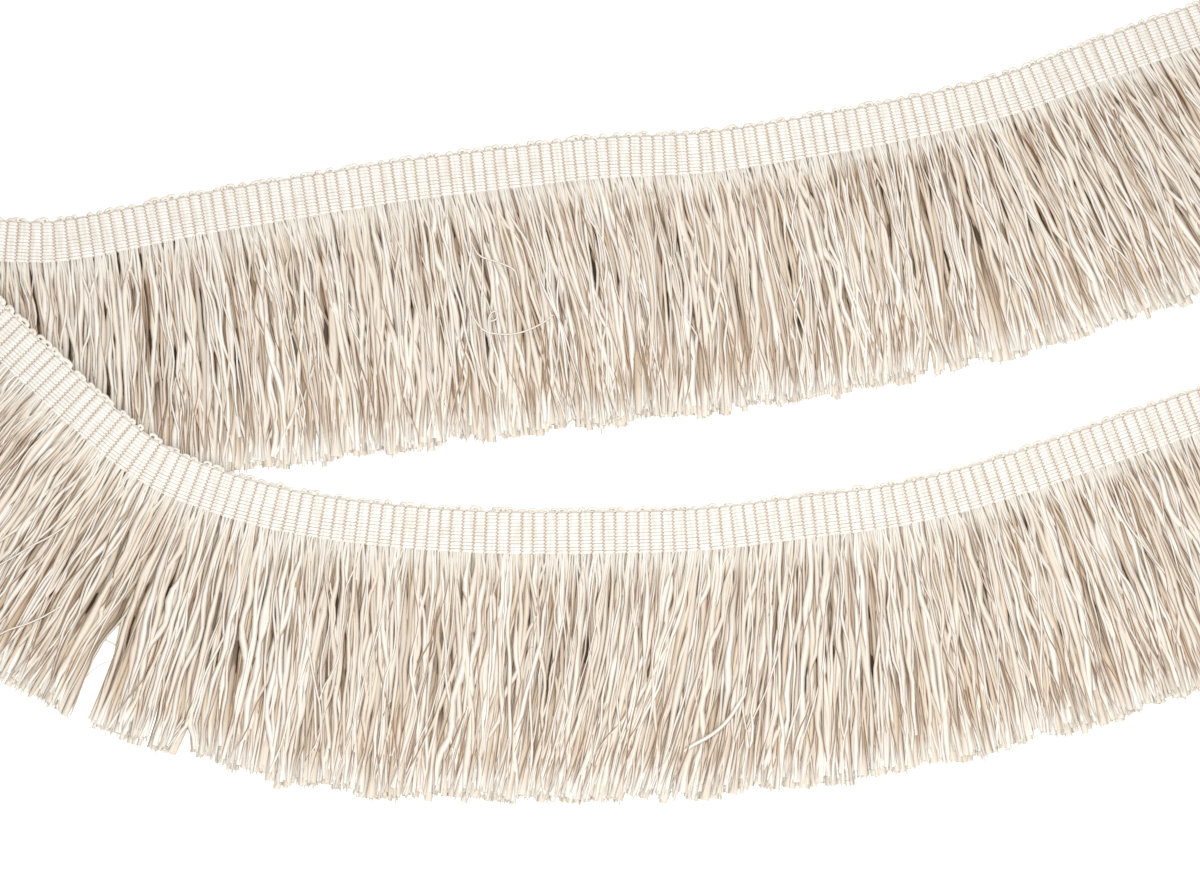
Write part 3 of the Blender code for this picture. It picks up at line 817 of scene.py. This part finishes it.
def strandShades(rng, layer, ribPlace, over, share):
    count, lowest = len(ribPlace), layer["level"] < fringe["lowestBelow"]
    amount, often = layer["deep"]
    deep = np.where(rng.uniform(0, 1, count) < often, amount * rng.uniform(*shade["spread"], count), 0.0)
    # painted shade: more on the fringe that lies by the fold under the second run, less on the second run
    deep = deep * np.where(over, shade["over"], 1.0 + shade["far"] * ramp(ribPlace, *shade["farRibs"]))
    # the painted shade starts nearer the heading at the two right ends, where less light falls
    nearEnds = sum(ramp(ribPlace, *ribs) for ribs in shade["rightRibs"])
    fadeIn = ramp(share, shade["start"], (shade["full"] - shade["sooner"] * nearEnds)[:, None])
    if lowest:
        # painted shade: a dark slit goes on below every valley of the heading
        fromMiddle = np.abs(ribPlace - np.floor(ribPlace) - 0.5)
        fadeIn = np.maximum(fadeIn, shade["slit"] * ramp(fromMiddle, *shade["slitFrom"])[:, None])
    deep = np.clip(deep, 0, 1)[:, None] * fadeIn * (1.0 - shade["fade"] * ramp(share, *shade["fadeShares"]))
    # the painted shade, edge shade included, is left off near the roots of all but the lowest layers, where
    # the fine yarns lie side by side, and at the cut ends
    if not lowest:
        deep = deep - shade["light"] * (1.0 - fadeIn)
    deep = deep - shade["light"] * ramp(share, *shade["lightTip"])
    tone = rng.uniform(*layer["tone"], count)[:, None]
    # tone goes paler toward the cut ends, partly the fluffed ends of cut yarn and partly painted light, and
    # near the heading as painted light
    paleTip = ramp(share, *shade["paleTip"]) * (shade["paleLowest"] if lowest else 1.0)
    paleRoot = shade["paleRoot"] * (1.0 - smoothStep(share / shade["paleRootBy"]))
    return strandInfo(tone + (1.0 - tone) * np.maximum(paleTip, paleRoot), deep)


def layerStrands(rng, layer, phases, firstRib, lastRib):
    # lines and sizes of one layer's strands between two ribs
    count, rings = round(layer["perRib"] * (lastRib - firstRib)), layer["rings"]
    spacing = (lastRib - firstRib) / count
    ribPlace = firstRib + (np.arange(count) + 0.5 + rng.uniform(-1, 1, count) * layer["jitter"]) * spacing
    along = ribPlace * trim["ribPitch"]
    root, tip, drop = fringeAt(along)
    over = foldTurn(along, fringe["leaveDepth"]) > math.pi / 2
    level = layer["level"] + rng.uniform(-fringe["levelSpread"], fringe["levelSpread"], count)
    level = np.clip(level, 0.0, 1.0)
    share = np.concatenate(([0.0], np.linspace(0.0, 1.0, rings - 1) ** fringe["ringPower"]))
    length = strandLengths(rng, layer, along, drop)
    habits = strandHabits(rng, layer, ribPlace, share)

    rise = fringe["rootLow"] + (fringe["rootHigh"] - fringe["rootLow"]) * np.sqrt(level)
    rise = np.where(over, trim["headingThick"] - rise, rise)
    squeezed = along - layer["squeeze"] * (ribPlace - np.floor(ribPlace) - 0.5) * trim["ribPitch"]
    plan = np.empty((count, rings, 2))
    plan[:, 0], rootZ = layTrim(squeezed, fringe["rootDepth"], fringe["rootMiddle"])
    plan[:, 1], leaveZ = layTrim(squeezed, fringe["leaveDepth"], rise)
    # direction in which a tuft draws the strand
    aside = fringe["aside"]
    sideways = layTrim(along + aside, aside + fringe["leaveDepth"], rise)[0] - plan[:, 1]
    sideways /= np.linalg.norm(sideways, axis=1, keepdims=True) + 1e-9
    for ring in range(2, rings):
        here = plan[:, ring - 1]
        gone = share[ring] - share[ring - 1]
        for step in range(bending["steps"]):
            t = share[ring - 1] + gone * (step + 0.5) / bending["steps"]
            growth = min(1.0, bending["swayStart"] + bending["swayGrowth"] * t)
            lean = root + (tip - root) * t + sharedLean(along, t, phases) * growth * layer["sway"]
            lean = np.radians(addOwnLean(lean, habits, t))
            reach = length * gone / bending["steps"]
            here = here + reach[:, None] * np.stack((np.sin(lean), -np.cos(lean)), axis=-1)
        plan[:, ring] = here
    freed = (along - squeezed)[:, None] * smoothStep(share / bending["freeBy"])
    plan = openGaps(plan + (habits["shift"] + freed)[..., None] * sideways[:, None])

    wide, thin, turn = strandSections(rng, layer, share, habits, count)
    stack = np.interp(share, fringe["stackShares"], fringe["stackHeights"]) * mm
    tall = np.hypot(wide * np.sin(turn), thin * np.cos(turn))
    room = np.maximum(stack - 2 * tall, 0.0)
    lying = tall + fringe["clear"] + room * level[:, None]
    base = np.where(over[:, None], support(plan), 0.0)
    settle = smoothStep(share / fringe["settleBy"])
    z = leaveZ[:, None] * (1 - settle) + (base + lying) * settle
    z[:, 0] = rootZ
    info = strandShades(rng, layer, ribPlace, over, share)
    return strandPart(plan, z, wide=wide, thin=thin, turn=turn, info=info, shoulder=fringe["shoulder"])


def frayEnds(rng, parts, count):
    # short fibres that stand out of the cut ends
    tips = np.concatenate([part["centres"][:, -1] for part in parts])
    ahead = tips - np.concatenate([part["centres"][:, -2] for part in parts])
    chosen = rng.integers(0, len(tips), count)
    ahead = unitLength(ahead[chosen])
    sideways = np.cross((0.0, 0.0, 1.0), ahead)
    place = rng.uniform(-1, 1, count)
    half = np.concatenate([part["wide"][:, -1] for part in parts])[chosen]
    start = tips[chosen] - ahead * fray["within"] + sideways * (place * half)[:, None]
    lean = np.radians(place * fray["spread"] + rng.normal(0.0, fray["stray"], count))
    reach = rng.uniform(*fray["reach"], count)
    step = (ahead * np.cos(lean)[:, None] + sideways * np.sin(lean)[:, None]) * reach[:, None]
    step[:, 2] = rng.normal(0.0, fray["rise"], count)
    centres = start[:, None] + step[:, None] * np.linspace(0.0, 1.0, len(fray["half"]))[:, None]
    centres[:, 1, :2] += sideways[:, :2] * rng.normal(0.0, fray["bend"], (count, 1))
    half = np.array(fray["half"]) * rng.uniform(*fray["halfSpread"], (count, 1)) * mm
    centres[..., 2] = np.maximum(centres[..., 2], half)
    info = strandInfo(rng.uniform(*fray["tone"], (count, 1)), np.full(half.shape, -1.0))
    return dict(centres=centres, wide=half, thin=half, turn=np.zeros(half.shape), info=info, shoulder=1.0,
                sides=fray["sides"])


def makeFringe(place, firstRib, lastRib, index):
    rng = np.random.default_rng(fringe["seed"] + index)
    parts = []
    for number, layer in enumerate(fringe["layers"]):
        shared = np.random.default_rng(fringe["waveSeed"] + number)
        phases = shared.uniform(0, 2 * np.pi, len(fringe["waves"]))
        parts.append(layerStrands(rng, layer, phases, firstRib, lastRib))
    parts.append(frayEnds(rng, parts, fray["perRib"] * (lastRib - firstRib)))
    obj = layStrands("yarns" + place.title().replace("_", ""), parts, yarnMaterial)
    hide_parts("fringe_" + place)
    return obj


# Upper edge: a cord that runs from rib to rib, and small loops of the weft that stand up from it
edge = dict(
    seed=41, flat=0.9, tone=(0.3, 1.0), endGap=0.3 * mm,
    cord=dict(stepsPerRib=4, half=0.32 * mm, place=-0.28 * mm, wave=0.10 * mm, rise=0.12 * mm, swell=0.12,
              wobbleSteps=6),
    # half, radius and sink are in mm, arc in half turns, largeAt and largeFor in ribs
    loop=dict(rings=14, perRib=1.15, half=(0.38, 0.52), radius=(0.30, 0.50), stretch=(1.2, 2.5),
              sink=(-0.65, -0.1), arc=(-0.30, 1.30), spacing=(0.1, 0.9), lean=0.15 * mm, foot=0.6, level=0.66,
              levelSpread=0.14, tilt=0.25 * mm, largeAt=136.0, largeFor=10.0, larger=0.35),
)


def edgeStrands(rng, along, depth, height, half):
    along = np.clip(along, edge["endGap"], path["ribs"] * trim["ribPitch"] - edge["endGap"])
    plan, z = layTrim(along, depth, height)
    info = strandInfo(rng.uniform(*edge["tone"], len(along))[:, None], np.zeros(half.shape))
    return strandPart(plan, z, wide=half, thin=half * edge["flat"], turn=np.zeros(half.shape), info=info)


def edgeCord(rng, cord):
    ribs, every = path["ribs"], cord["wobbleSteps"]
    steps = ribs * cord["stepsPerRib"] + 1
    along = np.linspace(0.0, ribs, steps)[None, :] * trim["ribPitch"]
    knots = np.arange(0, steps + every, every)
    wobble = [np.interp(np.arange(steps), knots, rng.uniform(-1, 1, steps // every + 2)) for axis in (0, 1)]
    turn = 2 * np.pi * along / trim["ribPitch"]
    depth = cord["place"] + cord["wave"] * (np.cos(turn) + wobble[0])
    height = trim["headingThick"] / 2 + cord["rise"] * (np.sin(turn) + wobble[1])
    return edgeStrands(rng, along, depth, height, cord["half"] * (1.0 + cord["swell"] * np.cos(turn + 1.0)))


def weftLoops(rng, loop):
    pitch, thick = trim["ribPitch"], trim["headingThick"]
    count = round(loop["perRib"] * path["ribs"])
    arc = np.linspace(loop["arc"][0] * np.pi, loop["arc"][1] * np.pi, loop["rings"])
    middle = (np.arange(count) + rng.uniform(*loop["spacing"], count))[:, None] * pitch / loop["perRib"]
    # they stand out more past the fold
    large = 1.0 + loop["larger"] * np.exp(-((middle / pitch - loop["largeAt"]) / loop["largeFor"]) ** 2)
    radius = rng.uniform(*loop["radius"], (count, 1)) * mm * large
    flat = rng.uniform(*loop["stretch"], (count, 1))
    along = middle - radius * flat * np.cos(arc) + rng.normal(0.0, loop["lean"], (count, 1)) * np.sin(arc)
    depth = rng.uniform(*loop["sink"], (count, 1)) * mm - radius * (np.sin(arc) + loop["foot"])
    level = loop["level"] + rng.uniform(-loop["levelSpread"], loop["levelSpread"], (count, 1))
    height = thick * level + loop["tilt"] * np.cos(arc)
    half = rng.uniform(*loop["half"], (count, 1)) * mm * large * np.ones(loop["rings"])
    height = np.clip(height, half, np.maximum(thick - half, half))
    return edgeStrands(rng, along, depth, height, half)


def makeEdge():
    rng = np.random.default_rng(edge["seed"])
    obj = layStrands("edgeLoops", [edgeCord(rng, edge["cord"]), weftLoops(rng, edge["loop"])], edgeMaterial)
    return obj


# Loose threads on top of the fringe, and fibres on the table across the left gap. Points are x and y in mm,
# half is half the width, and height is above what the fringe lies on, both in mm too
looseThreads = dict(
    rings=20, routeSteps=12, tone=0.9, shoulder=0.8, thin=0.3 * mm, tuck=0.9 * mm, tuckRings=4.0,
    threads=[
        dict(half=0.27, height=3.1, points=[
            (-34.6, 54.0), (-32.5, 50.3), (-29.2, 48.9), (-26.3, 47.9), (-22.9, 46.0), (-21.8, 42.0)]),
        dict(half=0.27, height=3.1, points=[
            (-35.6, 38.5), (-34.5, 34.4), (-31.4, 29.9), (-27.8, 28.7), (-23.1, 28.7), (-19.0, 29.8),
            (-15.4, 31.7), (-12.6, 34.0)]),
        dict(half=0.26, height=3.1, points=[
            (-29.2, 26.0), (-29.8, 32.0), (-29.2, 34.2), (-28.1, 34.9), (-27.3, 34.0), (-27.9, 32.7),
            (-29.1, 32.4)]),
        dict(half=0.28, height=2.45, points=[
            (-162.9, -34.8), (-156.0, -31.0), (-151.0, -27.9), (-147.0, -25.9), (-142.6, -23.0),
            (-139.5, -20.0)]),
        dict(half=0.28, height=2.30, points=[
            (-160.0, -51.8), (-155.5, -49.9), (-151.0, -48.4), (-146.5, -46.2), (-143.0, -43.8)]),
        dict(half=0.62, height=2.10, points=[
            (22.2, -82.2), (24.7, -80.5), (28.3, -78.6), (31.5, -76.3), (33.9, -73.8), (35.7, -71.2),
            (37.8, -67.8), (38.8, -65.4)]),
        dict(half=0.20, height=0.35, points=[
            (-137.6, -54.9), (-134.7, -53.3), (-132.3, -52.5), (-129.6, -53.3), (-127.2, -54.8)]),
        dict(half=0.13, height=0.30, points=[
            (-140.0, -66.4), (-137.4, -64.2), (-135.0, -61.5), (-132.3, -59.3), (-129.8, -58.2)]),
    ],
)


def makeLooseThreads():
    threads, rings = looseThreads["threads"], looseThreads["rings"]
    plan = np.empty((len(threads), rings, 2))
    for thread, line in zip(threads, plan):
        route = curveThrough([np.array(point) * mm for point in thread["points"]], looseThreads["routeSteps"])
        gone = lengthAlong(route)
        for axis in (0, 1):
            line[:, axis] = np.interp(np.linspace(0.0, gone[-1], rings), gone, route[:, axis])
    half = np.array([thread["half"] for thread in threads])[:, None] * mm * np.ones(rings)
    height = np.array([thread["height"] for thread in threads])[:, None] * mm
    # the ends go down between the strands
    fromEnd = np.minimum(np.arange(rings), np.arange(rings)[::-1])
    tucked = 1.0 - smoothStep(fromEnd / looseThreads["tuckRings"])
    z = support(plan) + height - np.minimum(looseThreads["tuck"], height - half) * tucked
    info = strandInfo(np.full((len(threads), 1), looseThreads["tone"]), np.zeros(half.shape))
    part = strandPart(plan, z, wide=half, thin=np.minimum(half, looseThreads["thin"]), info=info,
                      turn=np.zeros(half.shape), shoulder=looseThreads["shoulder"])
    obj = layStrands("looseThreads", [part], yarnMaterial)
    return obj


headingBand = makeHeading()
print("heading ready:", len(headingBand.data.polygons), "faces")
edgeLoops = makeEdge()
print("loops ready")
firstRib = 0
for index, (place, lastRib) in enumerate(backings):
    makeFringe(place, firstRib, lastRib, index)
    firstRib = lastRib

looseYarns = makeLooseThreads()
print("loose threads ready")

bpy.context.view_layer.update()
